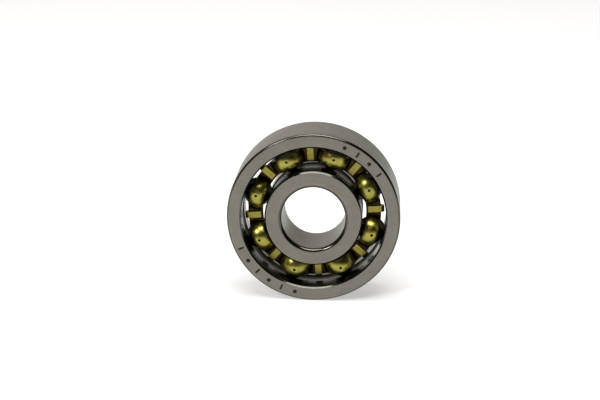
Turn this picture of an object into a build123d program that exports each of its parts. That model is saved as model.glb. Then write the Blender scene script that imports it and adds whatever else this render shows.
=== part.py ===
from build123d import *
from math import radians, sqrt
import os

# Open single-row deep-groove ball bearing: 7 mm bore, 19 mm outside diameter, 6 mm wide, with eight
# balls in a two-piece pressed brass cage. Millimetres. The bearing's axis is Y, its front faces -Y
# and Z is up. The origin is the centre of the bore.

# Boundary dimensions, the standard ones for this size of bearing
BORE_RADIUS = 3.5
OUTSIDE_RADIUS = 9.5
WIDTH = 6.0
HALF_WIDTH = WIDTH / 2

# Ring corners: rounded where a ring meets the shaft or the housing, bevelled beside the balls
BORE_CORNER = 0.4
OUTSIDE_CORNER = 0.25
SHOULDER_BEVEL = 0.15

# Balls and raceways
BALL_COUNT = 8
BALL_RADIUS = 3.175 / 2
PITCH_RADIUS = 6.65
FIRST_BALL_ANGLE = 26.7
RUNNING_CLEARANCE = 0.01
GROOVE_RADIUS = 1.04 * BALL_RADIUS
INNER_SHOULDER_RADIUS = 5.35
OUTER_SHOULDER_RADIUS = 7.96

# Cage: two pressed ribbons that meet in the plane of the balls' centres
SHEET = 0.22
POCKET_CLEARANCE = 0.04
POCKET_INSIDE = BALL_RADIUS + POCKET_CLEARANCE
POCKET_OUTSIDE = POCKET_INSIDE + SHEET
POCKET_BEND = 0.3
CAGE_INNER_RADIUS = 5.75
CAGE_OUTER_RADIUS = 7.38
OIL_HOLE_RADIUS = 0.11
OIL_HOLE_PITCH_RADIUS = 6.74

# Tabs of the rear half, folded over the front half between the balls
TAB_WIDTH = 0.7
TAB_END_RADIUS = 5.95
TAB_CORNER = 0.08
TAB_ROOT = 0.3
FOLD_START_RADIUS = 7.4
FOLD_PLAY = 0.02

POCKET_STEP = 360 / BALL_COUNT
POCKET_ANGLES = [FIRST_BALL_ANGLE + index * POCKET_STEP for index in range(BALL_COUNT)]


def around_axis(angle):
    """The turn about the bearing's axis that takes +X towards +Z by the angle, in degrees."""
    return Rot(0, -angle, 0)


def arc(centre, start, end):
    """The shorter way round a centre from one point to another."""
    to_start = Vector(start) - Vector(centre)
    to_end = Vector(end) - Vector(centre)
    halfway = Vector(centre) + (to_start + to_end).normalized() * to_start.length
    return ThreePointArc(start, halfway, end)


def ring(seat_radius, seat_corner, shoulder_radius, groove_bottom):
    """A bearing ring: a smooth seat on one side and, on the other, two shoulders beside a raceway.

    The section is drawn with x as the distance from the axis and y along it.
    """
    outward = 1 if seat_radius > shoulder_radius else -1
    face_at_seat = seat_radius - outward * seat_corner
    face_at_shoulder = shoulder_radius + outward * SHOULDER_BEVEL
    seat_end = HALF_WIDTH - seat_corner
    shoulder_end = HALF_WIDTH - SHOULDER_BEVEL
    groove_centre = groove_bottom - outward * GROOVE_RADIUS
    groove_end = sqrt(GROOVE_RADIUS**2 - (shoulder_radius - groove_centre) ** 2)
    outline = [
        Line((face_at_shoulder, -HALF_WIDTH), (face_at_seat, -HALF_WIDTH)),
        arc((face_at_seat, -seat_end), (face_at_seat, -HALF_WIDTH), (seat_radius, -seat_end)),
        Line((seat_radius, -seat_end), (seat_radius, seat_end)),
        arc((face_at_seat, seat_end), (seat_radius, seat_end), (face_at_seat, HALF_WIDTH)),
        Polyline(
            (face_at_seat, HALF_WIDTH),
            (face_at_shoulder, HALF_WIDTH),
            (shoulder_radius, shoulder_end),
            (shoulder_radius, groove_end),
        ),
        arc((groove_centre, 0), (shoulder_radius, groove_end), (shoulder_radius, -groove_end)),
        Polyline(
            (shoulder_radius, -groove_end),
            (shoulder_radius, -shoulder_end),
            (face_at_shoulder, -HALF_WIDTH),
        ),
    ]
    return revolve(make_face(outline), Axis.Y)


def outer_ring():
    groove_bottom = PITCH_RADIUS + BALL_RADIUS + RUNNING_CLEARANCE
    return ring(OUTSIDE_RADIUS, OUTSIDE_CORNER, OUTER_SHOULDER_RADIUS, groove_bottom)


def inner_ring():
    groove_bottom = PITCH_RADIUS - BALL_RADIUS - RUNNING_CLEARANCE
    return ring(BORE_RADIUS, BORE_CORNER, INNER_SHOULDER_RADIUS, groove_bottom)


def ball(angle):
    return around_axis(angle) * Pos(PITCH_RADIUS, 0, 0) * Sphere(BALL_RADIUS)


def pocket_sheet():
    """The sheet round one ball, turned about the ball's own axis: a dome, a bend and a flat flange."""
    bend_y = -(SHEET + POCKET_BEND)
    bend_distance = POCKET_OUTSIDE + POCKET_BEND
    bend_x = sqrt(bend_distance**2 - bend_y**2)
    bend_centre = (bend_x, bend_y)
    dome_edge = Vector(bend_centre) / bend_distance
    # The arc from pocket to pocket is longer than the flange needs, so the flanges always meet.
    flange_end = CAGE_OUTER_RADIUS * radians(POCKET_STEP / 2)
    outline = [
        arc((0, 0), (0, -POCKET_OUTSIDE), dome_edge * POCKET_OUTSIDE),
        arc(bend_centre, dome_edge * POCKET_OUTSIDE, (bend_x, -SHEET)),
        Polyline((bend_x, -SHEET), (flange_end, -SHEET), (flange_end, 0), (bend_x, 0)),
        arc(bend_centre, (bend_x, 0), dome_edge * POCKET_INSIDE),
        arc((0, 0), dome_edge * POCKET_INSIDE, (0, -POCKET_INSIDE)),
        Line((0, -POCKET_INSIDE), (0, -POCKET_OUTSIDE)),
    ]
    return revolve(make_face(outline), Axis.Y)


def ribbon_sector():
    """The part of the ribbon's width and length that belongs to one ball."""
    band_width = CAGE_OUTER_RADIUS - CAGE_INNER_RADIUS
    band_middle = (CAGE_INNER_RADIUS + CAGE_OUTER_RADIUS) / 2
    section = Pos(band_middle, 0) * Rectangle(band_width, 2 * POCKET_OUTSIDE)
    return around_axis(POCKET_STEP / 2) * revolve(section, Axis.Y, revolution_arc=POCKET_STEP)


def cage_ribbon():
    """One pressed half of the cage, domed towards -Y, with a small oil hole in each dome."""
    pocket = (Pos(PITCH_RADIUS, 0, 0) * pocket_sheet()) & ribbon_sector()
    hole = Rot(90, 0, 0) * Cylinder(OIL_HOLE_RADIUS, 2 * SHEET)
    pocket -= Pos(OIL_HOLE_PITCH_RADIUS, -(POCKET_INSIDE + POCKET_OUTSIDE) / 2, 0) * hole
    first, *others = [around_axis(angle) * pocket for angle in POCKET_ANGLES]
    return first + others


def folded_tab():
    """A tab that leaves the rear half's outer edge, bends forward and lies on the front half."""
    leg_back = -(SHEET + FOLD_PLAY)
    leg_front = leg_back - SHEET
    fold_y = leg_back / 2
    fold_inside = -fold_y
    fold_outside = fold_inside + SHEET
    root = CAGE_OUTER_RADIUS - TAB_ROOT
    outline = [
        Line((root, 0), (FOLD_START_RADIUS, 0)),
        ThreePointArc(
            (FOLD_START_RADIUS, 0),
            (FOLD_START_RADIUS + fold_inside, fold_y),
            (FOLD_START_RADIUS, leg_back),
        ),
        Polyline(
            (FOLD_START_RADIUS, leg_back),
            (TAB_END_RADIUS, leg_back),
            (TAB_END_RADIUS, leg_front),
            (FOLD_START_RADIUS, leg_front),
        ),
        ThreePointArc(
            (FOLD_START_RADIUS, leg_front),
            (FOLD_START_RADIUS + fold_outside, fold_y),
            (FOLD_START_RADIUS, SHEET),
        ),
        Polyline((FOLD_START_RADIUS, SHEET), (root, SHEET), (root, 0)),
    ]
    tab = extrude(make_face(outline), TAB_WIDTH / 2, both=True)
    end_corners = tab.edges().filter_by(Axis.Y).group_by(Axis.X)[0]
    return fillet(end_corners, TAB_CORNER)


def cage_front_half():
    return cage_ribbon()


def cage_rear_half():
    tab = folded_tab()
    tabs = [around_axis(angle + POCKET_STEP / 2) * tab for angle in POCKET_ANGLES]
    return mirror(cage_ribbon(), Plane.XZ) + tabs


def nodes():
    """Every piece of the bearing, by name."""
    pieces = {
        "outer_ring": outer_ring(),
        "inner_ring": inner_ring(),
        "cage_front_half": cage_front_half(),
        "cage_rear_half": cage_rear_half(),
    }
    for number, angle in enumerate(POCKET_ANGLES, start=1):
        pieces[f"ball_{number}"] = ball(angle)
    return pieces


os.makedirs("parts", exist_ok=True)
for name, piece in nodes().items():
    export_step(piece, f"parts/{name}.step")
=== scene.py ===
import math

import bpy
from mathutils import Matrix, Vector


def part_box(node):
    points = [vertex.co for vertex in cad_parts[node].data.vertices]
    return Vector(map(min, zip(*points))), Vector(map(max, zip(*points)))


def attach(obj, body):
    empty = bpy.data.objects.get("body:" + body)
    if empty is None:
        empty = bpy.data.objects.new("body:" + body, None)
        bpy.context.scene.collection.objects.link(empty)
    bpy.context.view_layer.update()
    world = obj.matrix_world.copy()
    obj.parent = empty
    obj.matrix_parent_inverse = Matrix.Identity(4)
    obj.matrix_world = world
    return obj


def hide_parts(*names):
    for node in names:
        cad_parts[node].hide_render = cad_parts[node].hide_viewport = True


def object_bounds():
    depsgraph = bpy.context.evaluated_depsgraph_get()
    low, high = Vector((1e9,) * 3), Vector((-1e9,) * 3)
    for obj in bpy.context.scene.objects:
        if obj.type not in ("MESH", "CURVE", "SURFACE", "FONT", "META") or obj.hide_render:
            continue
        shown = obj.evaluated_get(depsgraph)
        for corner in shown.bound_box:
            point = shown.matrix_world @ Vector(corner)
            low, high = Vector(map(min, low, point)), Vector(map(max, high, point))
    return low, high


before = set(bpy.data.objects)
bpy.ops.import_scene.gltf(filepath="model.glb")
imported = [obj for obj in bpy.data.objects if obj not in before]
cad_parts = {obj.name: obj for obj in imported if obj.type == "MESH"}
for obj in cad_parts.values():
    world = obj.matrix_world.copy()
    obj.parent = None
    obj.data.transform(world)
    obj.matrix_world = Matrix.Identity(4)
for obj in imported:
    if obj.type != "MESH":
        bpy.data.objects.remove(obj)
cad_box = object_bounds()

# The bearing stands on its outside surface, with its axis along Y and its front facing -Y.
# Lengths are in metres. Those that the frame's boxes don't give repeat the design's own values.
MM = 0.001

# Rings
OUTSIDE_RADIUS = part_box("outer_ring")[1].x
HALF_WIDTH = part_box("outer_ring")[1].y
BORE_RADIUS = 3.5 * MM
BORE_CORNER = 0.4 * MM
OUTSIDE_CORNER = 0.25 * MM
SHOULDER_BEVEL = 0.15 * MM
INNER_SHOULDER_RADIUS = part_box("inner_ring")[1].x
OUTER_SHOULDER_RADIUS = 7.96 * MM
EDGE_ROUNDING = 0.025 * MM
ROUNDING_STEPS = 6
ROUNDING_SUPPORT = 0.4
SHARP_ANGLE = math.radians(40)
GROOVE_STEPS = 28
RING_STATIONS = 360

# Balls and raceways
BALL_COUNT = 8
BALL_RADIUS = 3.175 / 2 * MM
PITCH_RADIUS = 6.65 * MM
FIRST_BALL_ANGLE = math.radians(26.7)
BALL_STEP = 2 * math.pi / BALL_COUNT
RUNNING_CLEARANCE = 0.01 * MM
GROOVE_RADIUS = 1.04 * BALL_RADIUS
BALL_PATCHES = 24

# Cage ribbons
SHEET = 0.22 * MM
POCKET_INSIDE = BALL_RADIUS + 0.04 * MM
POCKET_OUTSIDE = POCKET_INSIDE + SHEET
POCKET_BEND = 0.3 * MM
CAGE_INNER_RADIUS = 5.75 * MM
CAGE_OUTER_RADIUS = 7.38 * MM
STATIONS_PER_POCKET = 96
ARC_SAMPLES = 1200
BAND_POINTS = 15

# A sheared rim, from the front of the sheet to the back: inset in roundings, share of the thickness
RIM_ROUNDING = 0.05 * MM
RIM = [(0.3, 0.06), (0.0, 0.2), (0.0, 0.8), (0.3, 0.94)]

# Oil holes, one in each dome of the front ribbon
OIL_HOLE_RADIUS = 0.11 * MM
OIL_HOLE_PITCH_RADIUS = 6.74 * MM
OIL_HOLE_LIP = 0.015 * MM
HOLE_PATCH_POINTS = 2
HOLE_PATCH_STATIONS = 4

# Tabs of the rear ribbon, folded over the front one
TAB_HALF_WIDTH = 0.35 * MM
TAB_END_RADIUS = 5.95 * MM
TAB_CORNER = 0.08 * MM
FOLD_START_RADIUS = 7.4 * MM
FOLD_PLAY = 0.02 * MM
FOLD_STEPS = 14
LEG_STEPS = 8
CORNER_STEPS = 5
TAB_PATCH_STATIONS = 5

# How far from the balls' circle the rings are under running oil and painted shade
OIL_AND_SHADE_REACH = 1.34 * MM

# Corners and bevels at the rings' faces: the radius of each edge and how far its corner reaches
CORNER_BANDS = [
    (BORE_RADIUS, BORE_CORNER),
    (INNER_SHOULDER_RADIUS, SHOULDER_BEVEL),
    (OUTER_SHOULDER_RADIUS, SHOULDER_BEVEL),
    (OUTSIDE_RADIUS, OUTSIDE_CORNER),
]
CORNER_FADE = 0.7
FACE_MARGIN = 0.03

# Etched marks: generic dots and bars in two rows on the outer ring's front face
MARK_RADIUS = 8.72 * MM
MARK_STEP = math.radians(10.5)
MARK_ROWS = [(math.radians(36.0), 4), (math.radians(-155.5), 6)]
MARK_DOT = 0.2 * MM
MARK_BAR_HALF = (0.085 * MM, 0.3 * MM)
MARK_EDGE = 0.03 * MM
MARK_PLANE = -0.995 * HALF_WIDTH

# Colours of the metals, as shares of red, green and blue
STEEL_DIM = (0.24, 0.23, 0.201)
STEEL_BRIGHT = (0.287, 0.275, 0.243)
# Painted reflection streaks on the seats
STEEL_LINE = (0.333, 0.323, 0.289)
STEEL_REFLECTION_STREAK = (0.37, 0.355, 0.32)
STEEL_SPECK = (0.1, 0.09, 0.07)
# Painted shade on the rings' turned corners
STEEL_CORNER_SHADE = (0.08, 0.075, 0.063)
# Real oil and painted shade on the raceways and shoulders
STEEL_OIL_AND_SHADE = (0.045, 0.042, 0.036)
STEEL_ETCHED = (0.05, 0.046, 0.038)
BALL_CLEAN = (0.3, 0.295, 0.285)
BALL_OILY = (0.16, 0.15, 0.13)
BRASS_DIM = (0.4, 0.365, 0.105)
BRASS_BRIGHT = (0.48, 0.44, 0.13)
BRASS_STAIN = (0.2, 0.13, 0.035)
# Painted shade on the cage's flats
BRASS_FLAT_SHADE = (0.06, 0.041, 0.015)
# Painted shade round the cage's oil holes
BRASS_HOLE_SHADE = (0.03, 0.02, 0.01)

# Sizes of the metals' patterns, and how deep their relief is
FINE_LINE = 0.035 * MM
BROAD_LINE = 0.16 * MM
STEEL_CLOUD = 2.2 * MM
SEAT_REFLECTION_STREAK = 0.45 * MM
SPECK = 0.11 * MM
WORN_PATCH = 0.12 * MM
STEEL_RELIEF = 0.0012 * MM
BALL_CLOUD = 0.9 * MM
BALL_SCRATCH = 0.06 * MM
BALL_RELIEF = 0.0004 * MM
BRASS_CLOUD = 0.55 * MM
BRASS_BLOT = 0.3 * MM
BRASS_GRAIN = 0.07 * MM
BRASS_RELIEF = 0.0035 * MM

# Painted shade on the brass fades out between these distances from the balls' plane
SHADE_UP_TO = 0.22 * MM
SHADE_GONE_FROM = 1.2 * MM

# Camera, aimed a little to the left of the bearing's centre and above it
VIEW_AZIMUTH = math.radians(3.67)
VIEW_ELEVATION = math.radians(16.98)
VIEW_ROLL = math.radians(0.26)
VIEW_DISTANCE = 154 * MM
AIM_LEFT = 1.63 * MM
AIM_UP = 1.19 * MM
SENSOR_WIDTH = 36.0
LENS = 83.1

# Floor: a light table, with half its size and how strongly it glows
FLOOR_HALF = 1.5
FLOOR_COLOUR = (0.6, 0.6, 0.6)
FLOOR_ROUGHNESS = 0.9
FLOOR_GLOW = 0.5

# Lamps: azimuth from the front and elevation in degrees, distance, diameter and power
LAMPS = {
    "key": (-36, 37, 0.6, 0.16, 0.95),
    "overhead": (5, 76, 0.5, 0.45, 2.3),
}

# The room round the table, from the dim side in front to the pale side behind on the left
PALE_SIDE = (-0.45, 0.893, 0.0)
ROOM_IN_FRONT = (0.05, 0.042, 0.032)
ROOM_BEHIND = (0.93, 0.9, 0.875)

# Contrast of the finished picture
PICTURE_GAMMA = 0.8


# ---------------------------------------------------------------- mesh helpers


def make_piece(name, vertices, faces, body, node, slot, material):
    """A piece that stands for one CAD node and rides on its body, smooth apart from its sharp edges."""
    mesh = bpy.data.meshes.new(name)
    mesh.from_pydata([tuple(v) for v in vertices], [], faces)
    mesh.polygons.foreach_set("use_smooth", [True] * len(mesh.polygons))
    mesh.set_sharp_from_angle(angle=SHARP_ANGLE)
    mesh.materials.append(material)
    piece = bpy.data.objects.new(name, mesh)
    bpy.context.scene.collection.objects.link(piece)
    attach(piece, body)
    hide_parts(node)
    return piece


def arc_points(centre, radius, start, end, steps):
    """Points of an arc in the section plane, both ends included. Angles are in radians."""
    found = []
    for step in range(steps + 1):
        angle = start + (end - start) * step / steps
        found.append(centre + radius * Vector((math.cos(angle), math.sin(angle))))
    return found


def rounded(corners):
    """The closed outline through corners, each (point, radius), with its corners rounded.

    A support point beside each rounding keeps the flat stretches flat when they are shaded smooth.
    """
    outline = []
    for index, (point, radius) in enumerate(corners):
        if radius == 0:
            outline.append(point)
            continue
        to_last = (corners[index - 1][0] - point).normalized()
        to_next = (corners[(index + 1) % len(corners)][0] - point).normalized()
        half = to_last.angle(to_next) / 2
        reach = radius / math.tan(half)
        centre = point + (to_last + to_next).normalized() * radius / math.sin(half)
        first = point + to_last * reach
        last = point + to_next * reach
        start = math.atan2(first.y - centre.y, first.x - centre.x)
        end = math.atan2(last.y - centre.y, last.x - centre.x)
        turn = (end - start + math.pi) % (2 * math.pi) - math.pi
        outline.append(first + to_last * reach * ROUNDING_SUPPORT)
        outline += arc_points(centre, radius, start, start + turn, ROUNDING_STEPS)
        outline.append(last + to_next * reach * ROUNDING_SUPPORT)
    return outline


def lathe(outline, stations):
    """Vertices and faces of a closed outline (distance from the axis, place along it) turned about Y."""
    vertices = []
    for station in range(stations):
        angle = 2 * math.pi * station / stations
        for point in outline:
            vertices.append((point.x * math.cos(angle), point.y, point.x * math.sin(angle)))
    return vertices, tube_faces(stations, len(outline))


def tube_faces(stations, points):
    """Quads between the closed loops of a ring-shaped grid."""
    faces = []
    for station in range(stations):
        here = station * points
        beyond = (station + 1) % stations * points
        for point in range(points):
            other = (point + 1) % points
            faces.append((here + point, here + other, beyond + other, beyond + point))
    return faces


def used_only(vertices, faces):
    """The same shape without the vertices that no face uses."""
    used = sorted({corner for face in faces for corner in face})
    places = {old: new for new, old in enumerate(used)}
    return [vertices[old] for old in used], [tuple(places[corner] for corner in face) for face in faces]


def round_the_axis(angle):
    """The directions away from the bearing's axis and round it, at an angle."""
    outward = Vector((math.cos(angle), 0, math.sin(angle)))
    across = Vector((-math.sin(angle), 0, math.cos(angle)))
    return outward, across


# ---------------------------------------------------------------- rings


def ring_outline(seat_radius, seat_corner, shoulder_radius, groove_bottom):
    """The section of a ring: a seat with rounded corners, and two shoulders beside the raceway."""
    outward = 1 if seat_radius > shoulder_radius else -1
    face_at_shoulder = shoulder_radius + outward * SHOULDER_BEVEL
    shoulder_end = HALF_WIDTH - SHOULDER_BEVEL
    groove_centre = Vector((groove_bottom - outward * GROOVE_RADIUS, 0))
    half_groove = math.acos(abs(shoulder_radius - groove_centre.x) / GROOVE_RADIUS)
    middle = 0 if outward > 0 else math.pi
    groove_start = middle + outward * half_groove
    groove_end = middle - outward * half_groove
    groove = arc_points(groove_centre, GROOVE_RADIUS, groove_start, groove_end, GROOVE_STEPS)
    corners = [
        (Vector((face_at_shoulder, -HALF_WIDTH)), EDGE_ROUNDING),
        (Vector((seat_radius, -HALF_WIDTH)), seat_corner),
        (Vector((seat_radius, HALF_WIDTH)), seat_corner),
        (Vector((face_at_shoulder, HALF_WIDTH)), EDGE_ROUNDING),
        (Vector((shoulder_radius, shoulder_end)), EDGE_ROUNDING),
        (groove[0], EDGE_ROUNDING),
        *((point, 0) for point in groove[1:-1]),
        (groove[-1], EDGE_ROUNDING),
        (Vector((shoulder_radius, -shoulder_end)), EDGE_ROUNDING),
    ]
    outline = rounded(corners)
    return outline if outward > 0 else outline[::-1]


def add_rings():
    raceway_out = PITCH_RADIUS + BALL_RADIUS + RUNNING_CLEARANCE
    raceway_in = PITCH_RADIUS - BALL_RADIUS - RUNNING_CLEARANCE
    outline = ring_outline(OUTSIDE_RADIUS, OUTSIDE_CORNER, OUTER_SHOULDER_RADIUS, raceway_out)
    steel = ground_steel("marked_ground_steel", True)
    shape = lathe(outline, RING_STATIONS)
    make_piece("steel_outer_ring", *shape, "outer_ring", "outer_ring", "ring_steel", steel)
    outline = ring_outline(BORE_RADIUS, BORE_CORNER, INNER_SHOULDER_RADIUS, raceway_in)
    steel = ground_steel("ground_steel", False)
    shape = lathe(outline, RING_STATIONS)
    make_piece("steel_inner_ring", *shape, "inner_ring", "inner_ring", "ring_steel", steel)


# ---------------------------------------------------------------- balls


def ball_shape(centre):
    """A ball of six square patches bulged onto the sphere, so that no point of it is pinched."""
    places = {}
    vertices = []
    faces = []

    def vertex(cell):
        if cell not in places:
            spread = [math.tan(math.pi / 4 * (2 * c / BALL_PATCHES - 1)) for c in cell]
            places[cell] = len(vertices)
            vertices.append(centre + Vector(spread).normalized() * BALL_RADIUS)
        return places[cell]

    for axis in range(3):
        for end in (0, BALL_PATCHES):
            for a in range(BALL_PATCHES):
                for b in range(BALL_PATCHES):
                    square = [(a, b), (a + 1, b), (a + 1, b + 1), (a, b + 1)]
                    cells = [(*pair[:axis], end, *pair[axis:]) for pair in square]
                    if (end > 0) == (axis == 1):
                        cells.reverse()
                    faces.append(tuple(vertex(cell) for cell in cells))
    return vertices, faces


def add_balls():
    steel = polished_steel()
    for index in range(BALL_COUNT):
        name = f"ball_{index + 1}"
        outward, _ = round_the_axis(FIRST_BALL_ANGLE + index * BALL_STEP)
        shape = ball_shape(outward * PITCH_RADIUS)
        make_piece(f"steel_{name}", *shape, name, name, "ball_steel", steel)


# ---------------------------------------------------------------- cage

BEND_Y = -(SHEET + POCKET_BEND)
BEND_DISTANCE = POCKET_OUTSIDE + POCKET_BEND
BEND_X = math.sqrt(BEND_DISTANCE**2 - BEND_Y**2)


def sheet_height(distance, sphere_radius, bend_radius, flat):
    """Height of one face of the sheet at a distance from the ball's own axis: dome, bend, then flat."""
    if distance >= BEND_X:
        return flat
    if distance <= sphere_radius * BEND_X / BEND_DISTANCE:
        return -math.sqrt(sphere_radius**2 - distance**2)
    return BEND_Y + math.sqrt(bend_radius**2 - (distance - BEND_X) ** 2)


def front_height(distance):
    return sheet_height(distance, POCKET_OUTSIDE, POCKET_BEND, -SHEET)


def back_height(distance):
    return sheet_height(distance, POCKET_INSIDE, POCKET_BEND + SHEET, 0.0)


def distance_to_ball(radius, angle):
    """How far a point of the ribbon is from the nearest ball's own axis."""
    return math.sqrt(radius**2 + PITCH_RADIUS**2 - 2 * radius * PITCH_RADIUS * math.cos(angle))


def even_angles(radius):
    """Angles from one flat's middle to the next, evenly spaced along the sheet at this radius."""
    angles = [BALL_STEP * (i / ARC_SAMPLES - 0.5) for i in range(ARC_SAMPLES + 1)]
    travelled = [0.0]
    for before, after in zip(angles, angles[1:]):
        near = distance_to_ball(radius, before)
        far = distance_to_ball(radius, after)
        across = radius * (after - before)
        front = math.hypot(across, front_height(far) - front_height(near))
        back = math.hypot(across, back_height(far) - back_height(near))
        travelled.append(travelled[-1] + front + back)
    found = []
    index = 0
    for station in range(STATIONS_PER_POCKET):
        wanted = travelled[-1] * station / STATIONS_PER_POCKET
        while travelled[index + 1] < wanted:
            index += 1
        share = (wanted - travelled[index]) / (travelled[index + 1] - travelled[index])
        found.append(angles[index] + share * (angles[index + 1] - angles[index]))
    return found


def band_radius(point):
    """Distance from the axis of a point across the flat of the ribbon's width."""
    low = CAGE_INNER_RADIUS + RIM_ROUNDING
    high = CAGE_OUTER_RADIUS - RIM_ROUNDING
    return low + (high - low) * point / (BAND_POINTS - 1)


def ribbon_section():
    """The closed loop round the sheet: each point is (radius, share of the way from front to back)."""
    band = [band_radius(point) for point in range(BAND_POINTS)]
    section = [(radius, 0.0) for radius in band]
    section += [(CAGE_OUTER_RADIUS - inset * RIM_ROUNDING, share) for inset, share in RIM]
    section += [(radius, 1.0) for radius in reversed(band)]
    section += [(CAGE_INNER_RADIUS + inset * RIM_ROUNDING, share) for inset, share in reversed(RIM)]
    return section


class Ribbon:
    """The grid of one pressed ribbon, from which patches are taken out for holes and tabs."""

    def __init__(self):
        self.section = ribbon_section()
        self.points = len(self.section)
        self.stations = STATIONS_PER_POCKET * BALL_COUNT
        self.vertices = []
        angles = {radius: even_angles(radius) for radius in sorted({r for r, _ in self.section})}
        for station in range(self.stations):
            pocket, place = divmod(station, STATIONS_PER_POCKET)
            for radius, share in self.section:
                angle = angles[radius][place]
                distance = distance_to_ball(radius, angle)
                height = front_height(distance) * (1 - share) + back_height(distance) * share
                outward, _ = round_the_axis(FIRST_BALL_ANGLE + pocket * BALL_STEP + angle)
                self.vertices.append(outward * radius + Vector((0, height, 0)))
        # The faces are a dictionary's keys, so that cut() can find each one by its corners.
        self.faces = dict.fromkeys(tube_faces(self.stations, self.points))

    def vertex(self, station, point):
        return station % self.stations * self.points + point % self.points

    def cut(self, first, last, low, high):
        """Takes out the quads between two stations and two points, and gives the loop round them."""
        for station in range(first, last):
            for point in range(low, high):
                here = (self.vertex(station, point), self.vertex(station, point + 1))
                beyond = (self.vertex(station + 1, point + 1), self.vertex(station + 1, point))
                del self.faces[here + beyond]
        loop = [(station, low) for station in range(first, last)]
        loop += [(last, point) for point in range(low, high)]
        loop += [(station, high) for station in range(last, first, -1)]
        loop += [(first, point) for point in range(high, low, -1)]
        return loop

    def add_loop(self, points):
        start = len(self.vertices)
        self.vertices += points
        return list(range(start, start + len(points)))

    def bridge(self, loops):
        """Quads from each loop of vertex numbers to the next."""
        for loop, other in zip(loops, loops[1:]):
            for index in range(len(loop)):
                after = (index + 1) % len(loop)
                self.faces[(loop[index], other[index], other[after], loop[after])] = None

    def drill(self, pocket):
        """The oil hole through one dome."""
        middle = pocket * STATIONS_PER_POCKET + STATIONS_PER_POCKET // 2
        nearest = round((OIL_HOLE_PITCH_RADIUS - band_radius(0)) / (band_radius(1) - band_radius(0)))
        low = nearest - HOLE_PATCH_POINTS
        high = nearest + HOLE_PATCH_POINTS
        opposite = 2 * BAND_POINTS + len(RIM) - 1
        stations = (middle - HOLE_PATCH_STATIONS, middle + HOLE_PATCH_STATIONS)
        front_loop = self.cut(*stations, low, high)
        self.cut(*stations, opposite - high, opposite - low)
        back_loop = [(station, opposite - point) for station, point in front_loop]
        outward, _ = round_the_axis(FIRST_BALL_ANGLE + pocket * BALL_STEP)
        centre = outward * OIL_HOLE_PITCH_RADIUS
        ball = outward * PITCH_RADIUS

        def circle(radius, height, deeper):
            found = []
            for station, point in front_loop:
                away = self.vertices[self.vertex(station, point)] - centre
                away.y = 0
                place = centre + away.normalized() * radius
                place.y = height((place - ball).length) + deeper
                found.append(place)
            return self.add_loop(found)

        self.bridge(
            [
                [self.vertex(*cell) for cell in front_loop],
                circle(OIL_HOLE_RADIUS + 2 * OIL_HOLE_LIP, front_height, 0),
                circle(OIL_HOLE_RADIUS, front_height, OIL_HOLE_LIP),
                circle(OIL_HOLE_RADIUS, back_height, -OIL_HOLE_LIP),
                circle(OIL_HOLE_RADIUS + OIL_HOLE_LIP, back_height, 0),
                [self.vertex(*cell) for cell in back_loop],
            ]
        )


def tab_path():
    """A folded tab's middle line: distance from the axis, place along it, turn so far, half width."""
    leg_back = -(SHEET + FOLD_PLAY)
    fold_y = leg_back / 2
    fold_radius = SHEET / 2 - fold_y
    path = []
    for step in range(FOLD_STEPS + 1):
        turn = math.pi * step / FOLD_STEPS
        x = FOLD_START_RADIUS + fold_radius * math.sin(turn)
        path.append((x, fold_y + fold_radius * math.cos(turn), turn, TAB_HALF_WIDTH))
    leg_y = leg_back - SHEET / 2
    corner_start = TAB_END_RADIUS + TAB_CORNER
    for step in range(1, LEG_STEPS):
        x = FOLD_START_RADIUS + (corner_start - FOLD_START_RADIUS) * step / LEG_STEPS
        path.append((x, leg_y, math.pi, TAB_HALF_WIDTH))
    for step in range(CORNER_STEPS + 1):
        round_corner = math.pi / 2 * step / CORNER_STEPS
        x = corner_start - TAB_CORNER * math.sin(round_corner)
        narrower = TAB_CORNER * (1 - math.cos(round_corner))
        path.append((x, leg_y, math.pi, TAB_HALF_WIDTH - narrower))
    return path


def fold_tab(ribbon, gap):
    """Grows a tab out of the rear ribbon's outer edge, at the flat before pocket number gap."""
    middle = gap * STATIONS_PER_POCKET
    rim_low = BAND_POINTS - 1
    rim_high = BAND_POINTS + len(RIM)
    shares = [0.0, *(share for _, share in RIM), 1.0]
    loop = ribbon.cut(middle - TAB_PATCH_STATIONS, middle + TAB_PATCH_STATIONS, rim_low, rim_high)
    outward, across = round_the_axis(FIRST_BALL_ANGLE + (gap - 0.5) * BALL_STEP)
    loops = [[ribbon.vertex(*cell) for cell in loop]]
    for x, y, turn, half_width in tab_path():
        found = []
        for station, point in loop:
            aside = (station - middle) / TAB_PATCH_STATIONS * half_width
            up = (0.5 - shares[point - rim_low]) * SHEET
            rise = Vector((0, y + up * math.cos(turn), 0))
            found.append(outward * (x + up * math.sin(turn)) + across * aside + rise)
        loops.append(ribbon.add_loop(found))
    ribbon.bridge(loops)
    ribbon.faces[tuple(reversed(loops[-1]))] = None


def add_cage():
    front = Ribbon()
    for pocket in range(BALL_COUNT):
        front.drill(pocket)
    shape = used_only(front.vertices, list(front.faces))
    brass = pressed_brass("front_brass", False)
    make_piece("brass_cage_front", *shape, "cage", "cage_front_half", "cage_brass", brass)

    rear = Ribbon()
    for pocket in range(BALL_COUNT):
        rear.drill(pocket)
    for vertex in rear.vertices:
        vertex.y = -vertex.y
    for pocket in range(BALL_COUNT):
        fold_tab(rear, pocket)
    shape = used_only(rear.vertices, [tuple(reversed(face)) for face in rear.faces])
    brass = pressed_brass("rear_brass", True)
    make_piece("brass_cage_rear", *shape, "cage", "cage_rear_half", "cage_brass", brass)


# ---------------------------------------------------------------- materials


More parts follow.
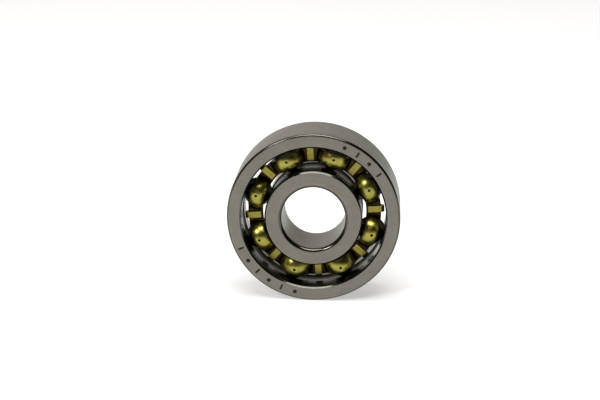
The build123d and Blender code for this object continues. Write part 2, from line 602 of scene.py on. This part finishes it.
class Look:
    """A metal under construction, with one short call for each kind of node that it uses."""

    def __init__(self, name):
        self.material = bpy.data.materials.new(name)
        self.material.use_nodes = True
        self.tree = self.material.node_tree
        self.shader = self.tree.nodes["Principled BSDF"]
        self.shader.inputs["Metallic"].default_value = 1
        self.place = self.node("ShaderNodeTexCoord").outputs["Object"]

    def node(self, kind, **settings):
        node = self.tree.nodes.new(kind)
        for name, value in settings.items():
            setattr(node, name, value)
        return node

    def feed(self, socket, value):
        """Links another node's output to a socket, or sets the socket to a plain value."""
        if isinstance(value, bpy.types.NodeSocket):
            self.tree.links.new(value, socket)
        else:
            socket.default_value = value

    def math(self, operation, *values):
        node = self.node("ShaderNodeMath", operation=operation)
        for socket, value in zip(node.inputs, values):
            self.feed(socket, value)
        return node.outputs[0]

    def split(self, vector):
        node = self.node("ShaderNodeSeparateXYZ")
        self.feed(node.inputs[0], vector)
        return node.outputs

    def noise(self, vector, size, detail=2.0, fourth=None):
        """Cloudy noise whose patches are about this size, averaging a half."""
        node = self.node("ShaderNodeTexNoise", noise_dimensions="3D" if fourth is None else "4D")
        self.feed(node.inputs["Vector"], vector)
        self.feed(node.inputs["Scale"], 1 / size)
        self.feed(node.inputs["Detail"], detail)
        if fourth is not None:
            self.feed(node.inputs["W"], fourth)
        return node.outputs["Fac"]

    def between(self, value, start, end, low=0.0, high=1.0):
        """Goes smoothly from low to high while the value goes from start to end."""
        node = self.node("ShaderNodeMapRange", interpolation_type="SMOOTHSTEP")
        self.feed(node.inputs["Value"], value)
        self.feed(node.inputs["From Min"], start)
        self.feed(node.inputs["From Max"], end)
        self.feed(node.inputs["To Min"], low)
        self.feed(node.inputs["To Max"], high)
        return node.outputs[0]

    def mix(self, share, first, second):
        """A colour between two others, each a socket or three numbers."""
        node = self.node("ShaderNodeMix", data_type="RGBA")
        self.feed(node.inputs["Factor"], share)
        for name, colour in (("A", first), ("B", second)):
            socket = next(s for s in node.inputs if s.name == name and s.type == "RGBA")
            self.feed(socket, colour if isinstance(colour, bpy.types.NodeSocket) else (*colour, 1))
        return next(s for s in node.outputs if s.type == "RGBA")

    def finish(self, colour, roughness, height, depth):
        bump = self.node("ShaderNodeBump")
        self.feed(bump.inputs["Height"], height)
        self.feed(bump.inputs["Distance"], depth)
        self.feed(self.shader.inputs["Base Color"], colour)
        self.feed(self.shader.inputs["Roughness"], roughness)
        self.feed(self.shader.inputs["Normal"], bump.outputs[0])
        return self.material

    def polar(self):
        """Distance from the bearing's axis, angle round it and place along it."""
        x, y, z = self.split(self.place)
        squares = self.math("ADD", self.math("MULTIPLY", x, x), self.math("MULTIPLY", z, z))
        return self.math("SQRT", squares), self.math("ARCTAN2", z, x), y

    def grinding(self, line_width, turns):
        """Fine lines that run round the axis, each fading in and out along the way."""
        radius, angle, along = self.polar()
        vector = self.node("ShaderNodeCombineXYZ")
        self.feed(vector.inputs[0], self.math("DIVIDE", radius, line_width))
        self.feed(vector.inputs[1], self.math("DIVIDE", along, line_width))
        self.feed(vector.inputs[2], self.math("MULTIPLY", self.math("COSINE", angle), turns))
        fourth = self.math("MULTIPLY", self.math("SINE", angle), turns)
        return self.noise(vector.outputs[0], 1.0, 3.0, fourth)


def etched_marks(look):
    """Generic dots and bars along each row of marks: 1 inside a mark and 0 outside."""
    radius, angle, along = look.polar()
    from_middle = look.math("SUBTRACT", radius, MARK_RADIUS)
    on_front = look.math("LESS_THAN", along, MARK_PLANE)
    found = 0.0
    for first, count in MARK_ROWS:
        place = look.math("DIVIDE", look.math("SUBTRACT", angle, first), MARK_STEP)
        number = look.math("ROUND", place)
        aside = look.math("MULTIPLY", look.math("SUBTRACT", place, number), MARK_STEP * MARK_RADIUS)
        in_row = look.math("COMPARE", number, (count - 1) / 2, count / 2)
        squares = look.math("ADD", look.math("POWER", aside, 2.0), look.math("POWER", from_middle, 2.0))
        dot = look.math("SUBTRACT", look.math("SQRT", squares), MARK_DOT)
        outside = [
            look.math("SUBTRACT", look.math("ABSOLUTE", offset), half)
            for offset, half in zip((aside, from_middle), MARK_BAR_HALF)
        ]
        bar = look.math("MAXIMUM", *outside)
        is_dot = look.math("FLOORED_MODULO", number, 2.0)
        is_bar = look.math("SUBTRACT", 1.0, is_dot)
        edge = look.math("ADD", look.math("MULTIPLY", is_dot, dot), look.math("MULTIPLY", is_bar, bar))
        inside = look.between(edge, MARK_EDGE, 0.0)
        found = look.math("ADD", found, look.math("MULTIPLY", inside, in_row))
    return look.math("MULTIPLY", found, on_front)


def shaded_holes(look):
    """Painted shade round each dome's hole: 1 at the hole's rim and 0 away from it."""
    radius, angle, _ = look.polar()
    steps = look.math("DIVIDE", look.math("SUBTRACT", angle, FIRST_BALL_ANGLE), BALL_STEP)
    off_ball = look.math("SUBTRACT", steps, look.math("ROUND", steps))
    aside = look.math("MULTIPLY", off_ball, BALL_STEP * OIL_HOLE_PITCH_RADIUS)
    beyond = look.math("SUBTRACT", radius, OIL_HOLE_PITCH_RADIUS)
    squares = look.math("ADD", look.math("POWER", aside, 2.0), look.math("POWER", beyond, 2.0))
    from_hole = look.math("SQRT", squares)
    return look.between(from_hole, 1.1 * OIL_HOLE_RADIUS, 1.8 * OIL_HOLE_RADIUS, 0.9, 0.0)


def turned_corners(look, radius, along):
    """The smooth corners and bevels at a ring's faces, where shade is painted: 1 on them and 0 on the
    ground surfaces.
    """
    from_middle = look.math("ABSOLUTE", along)
    found = 0.0
    for edge, reach in CORNER_BANDS:
        from_edge = look.math("ABSOLUTE", look.math("SUBTRACT", radius, edge))
        beside_edge = look.math("LESS_THAN", from_edge, reach)
        beside_face = look.between(from_middle, HALF_WIDTH - reach, HALF_WIDTH - CORNER_FADE * reach)
        off_face = look.math("LESS_THAN", from_middle, HALF_WIDTH - FACE_MARGIN * reach)
        corner = look.math("MULTIPLY", beside_edge, look.math("MULTIPLY", beside_face, off_face))
        found = look.math("MAXIMUM", found, corner)
    return found


def painted_seat_streaks(look, along):
    """Faint painted streaks of reflection along the seats."""
    drawn_out = look.node("ShaderNodeVectorMath", operation="MULTIPLY")
    look.feed(drawn_out.inputs[0], look.place)
    look.feed(drawn_out.inputs[1], (1.0, 0.07, 1.0))
    streaks = look.between(look.noise(drawn_out.outputs[0], SEAT_REFLECTION_STREAK, 3.0), 0.35, 0.65)
    from_middle = look.math("ABSOLUTE", along)
    strength = look.between(from_middle, 0.9 * HALF_WIDTH, 0.98 * HALF_WIDTH, 0.14, 0.1)
    return look.math("MULTIPLY", streaks, strength)


def oil_and_painted_shade(look, radius):
    """Oil with painted shade on the raceways and the shoulders beside the balls: 1 there and 0
    elsewhere.
    """
    from_balls = look.math("ABSOLUTE", look.math("SUBTRACT", radius, PITCH_RADIUS))
    return look.between(from_balls, OIL_AND_SHADE_REACH, OIL_AND_SHADE_REACH + SHOULDER_BEVEL / 2, 1.0, 0.0)


def ground_steel(name, marked):
    """Bearing steel, ground round and round, with a thin film of oil and faint stains, painted shade on
    its corners, raceways and shoulders, and painted reflection streaks on its seats.
    """
    look = Look(name)
    radius, _, along = look.polar()
    lines = look.grinding(FINE_LINE, 3.0)
    broad_lines = look.grinding(BROAD_LINE, 1.5)
    film = look.between(look.noise(look.place, STEEL_CLOUD, 4.0), 0.3, 0.7)
    speck = look.between(look.noise(look.place, SPECK), 0.66, 0.74, 0.0, 0.35)
    corners = turned_corners(look, radius, along)
    oil_and_shade = oil_and_painted_shade(look, radius)

    colour = look.mix(film, STEEL_DIM, STEEL_BRIGHT)
    colour = look.mix(look.between(lines, 0.35, 0.65, 0.0, 0.25), colour, STEEL_LINE)
    # Painted reflection: lighter streaks along the seats.
    colour = look.mix(painted_seat_streaks(look, along), colour, STEEL_REFLECTION_STREAK)
    colour = look.mix(speck, colour, STEEL_SPECK)
    # Painted shade: the turned corners are drawn darker than the steel is.
    colour = look.mix(look.math("MULTIPLY", corners, 0.65), colour, STEEL_CORNER_SHADE)
    # Painted shade, together with real oil, darkens the raceways and the shoulders beside the balls.
    colour = look.mix(look.math("MULTIPLY", oil_and_shade, 0.6), colour, STEEL_OIL_AND_SHADE)

    roughness = look.between(broad_lines, 0.3, 0.7, 0.3, 0.37)
    roughness = look.math("ADD", roughness, look.math("MULTIPLY", film, 0.08))
    roughness = look.math("SUBTRACT", roughness, look.math("MULTIPLY", corners, 0.2))
    roughness = look.math("SUBTRACT", roughness, look.math("MULTIPLY", oil_and_shade, 0.13))
    height = look.math("ADD", lines, look.math("MULTIPLY", broad_lines, 0.6))

    if marked:
        worn = look.between(look.noise(look.place, WORN_PATCH), 0.25, 0.5, 0.55, 1.0)
        marks = look.math("MULTIPLY", etched_marks(look), worn)
        colour = look.mix(marks, colour, STEEL_ETCHED)
        roughness = look.math("ADD", roughness, look.math("MULTIPLY", marks, 0.25))
        height = look.math("SUBTRACT", height, look.math("MULTIPLY", marks, 6.0))
    return look.finish(colour, roughness, height, STEEL_RELIEF)


def polished_steel():
    """Mirror-bright ball steel under an uneven film of oil."""
    look = Look("polished_steel")
    film = look.noise(look.place, BALL_CLOUD, 3.0)
    scratches = look.noise(look.place, BALL_SCRATCH, 4.0)
    colour = look.mix(look.between(film, 0.35, 0.7), BALL_CLEAN, BALL_OILY)
    roughness = look.between(film, 0.35, 0.7, 0.06, 0.16)
    return look.finish(colour, roughness, scratches, BALL_RELIEF)


def pressed_brass(name, tabbed):
    """Pressed brass with stains here and there, its own bright colour on the domes and tabs, and painted
    shade on the flats down by the balls and round each oil hole.
    """
    look = Look(name)
    along = look.split(look.place)[1]
    bright = look.between(look.math("ABSOLUTE", along), SHADE_UP_TO, SHADE_GONE_FROM)
    if tabbed:
        on_tab = look.between(along, -0.02 * MM, 0.0, 0.75, 0.0)
        bright = look.math("MAXIMUM", bright, on_tab)
    mottle = look.noise(look.place, BRASS_CLOUD, 4.0)
    grain = look.noise(look.place, BRASS_GRAIN, 3.0)
    stain = look.between(look.noise(look.place, BRASS_BLOT, 3.0), 0.56, 0.72)

    colour = look.mix(look.between(mottle, 0.3, 0.7), BRASS_DIM, BRASS_BRIGHT)
    colour = look.mix(look.math("MULTIPLY", stain, 0.25), colour, BRASS_STAIN)
    # Painted shade: the flats and low dome sides near the balls' plane are drawn dark brown.
    colour = look.mix(bright, BRASS_FLAT_SHADE, colour)
    # Painted shade round the oil holes.
    colour = look.mix(shaded_holes(look), colour, BRASS_HOLE_SHADE)

    roughness = look.between(mottle, 0.3, 0.7, 0.26, 0.34)
    roughness = look.math("ADD", roughness, look.math("MULTIPLY", stain, 0.1))
    height = look.math("ADD", mottle, look.math("MULTIPLY", grain, 0.35))
    return look.finish(colour, roughness, height, BRASS_RELIEF)


# ---------------------------------------------------------------- stage


def add_camera():
    level = Vector((math.cos(VIEW_AZIMUTH), math.sin(VIEW_AZIMUTH), 0))
    back = Vector(
        (
            math.sin(VIEW_AZIMUTH) * math.cos(VIEW_ELEVATION),
            -math.cos(VIEW_AZIMUTH) * math.cos(VIEW_ELEVATION),
            math.sin(VIEW_ELEVATION),
        )
    )
    steep = back.cross(level)
    right = math.cos(VIEW_ROLL) * level + math.sin(VIEW_ROLL) * steep
    up = math.cos(VIEW_ROLL) * steep - math.sin(VIEW_ROLL) * level
    place = VIEW_DISTANCE * back - AIM_LEFT * right + AIM_UP * up
    data = bpy.data.cameras.new("camera")
    data.sensor_width = SENSOR_WIDTH
    data.lens = LENS
    data.clip_start = 1 * MM
    data.clip_end = 10
    camera = bpy.data.objects.new("camera", data)
    camera.matrix_world = Matrix.Translation(place) @ Matrix((right, up, back)).transposed().to_4x4()
    bpy.context.scene.collection.objects.link(camera)
    bpy.context.scene.camera = camera


def add_floor():
    low = cad_box[0].z
    mesh = bpy.data.meshes.new("floor")
    corners = [(x * FLOOR_HALF, y * FLOOR_HALF, low) for x, y in ((-1, -1), (1, -1), (1, 1), (-1, 1))]
    mesh.from_pydata(corners, [], [(0, 1, 2, 3)])
    material = bpy.data.materials.new("pale_floor")
    material.use_nodes = True
    shader = material.node_tree.nodes["Principled BSDF"]
    shader.inputs["Base Color"].default_value = (*FLOOR_COLOUR, 1)
    shader.inputs["Roughness"].default_value = FLOOR_ROUGHNESS
    shader.inputs["Emission Color"].default_value = (1, 1, 1, 1)
    shader.inputs["Emission Strength"].default_value = FLOOR_GLOW
    mesh.materials.append(material)
    floor = bpy.data.objects.new("floor", mesh)
    bpy.context.scene.collection.objects.link(floor)


def add_lamp(name, azimuth, elevation, distance, size, power):
    """A round soft lamp that faces the bearing."""
    turn = math.radians(azimuth)
    lift = math.radians(elevation)
    towards = Vector((math.sin(turn) * math.cos(lift), -math.cos(turn) * math.cos(lift), math.sin(lift)))
    data = bpy.data.lights.new(name, "AREA")
    data.shape = "DISK"
    data.size = size
    data.energy = power
    lamp = bpy.data.objects.new(name, data)
    lamp.location = towards * distance
    lamp.rotation_euler = towards.to_track_quat("Z", "Y").to_euler()
    bpy.context.scene.collection.objects.link(lamp)


def add_room():
    """The studio round the table: dim and warm in front of the bearing, pale behind it on the left."""
    world = bpy.data.worlds.new("studio")
    world.use_nodes = True
    tree = world.node_tree
    direction = tree.nodes.new("ShaderNodeTexCoord").outputs["Generated"]
    towards = tree.nodes.new("ShaderNodeVectorMath")
    towards.operation = "DOT_PRODUCT"
    tree.links.new(direction, towards.inputs[0])
    towards.inputs[1].default_value = PALE_SIDE
    ramp = tree.nodes.new("ShaderNodeMapRange")
    ramp.interpolation_type = "SMOOTHSTEP"
    tree.links.new(towards.outputs["Value"], ramp.inputs["Value"])
    mix = tree.nodes.new("ShaderNodeMix")
    mix.data_type = "RGBA"
    tree.links.new(ramp.outputs[0], mix.inputs["Factor"])
    first, second = [socket for socket in mix.inputs if socket.type == "RGBA"]
    first.default_value = (*ROOM_IN_FRONT, 1)
    second.default_value = (*ROOM_BEHIND, 1)
    colour = next(socket for socket in mix.outputs if socket.type == "RGBA")
    tree.links.new(colour, tree.nodes["Background"].inputs["Color"])
    bpy.context.scene.world = world


bpy.context.scene.view_settings.view_transform = "Standard"
bpy.context.scene.view_settings.gamma = PICTURE_GAMMA
add_camera()
add_floor()
for name, settings in LAMPS.items():
    add_lamp(name, *settings)
add_room()
add_rings()
add_balls()
add_cage()
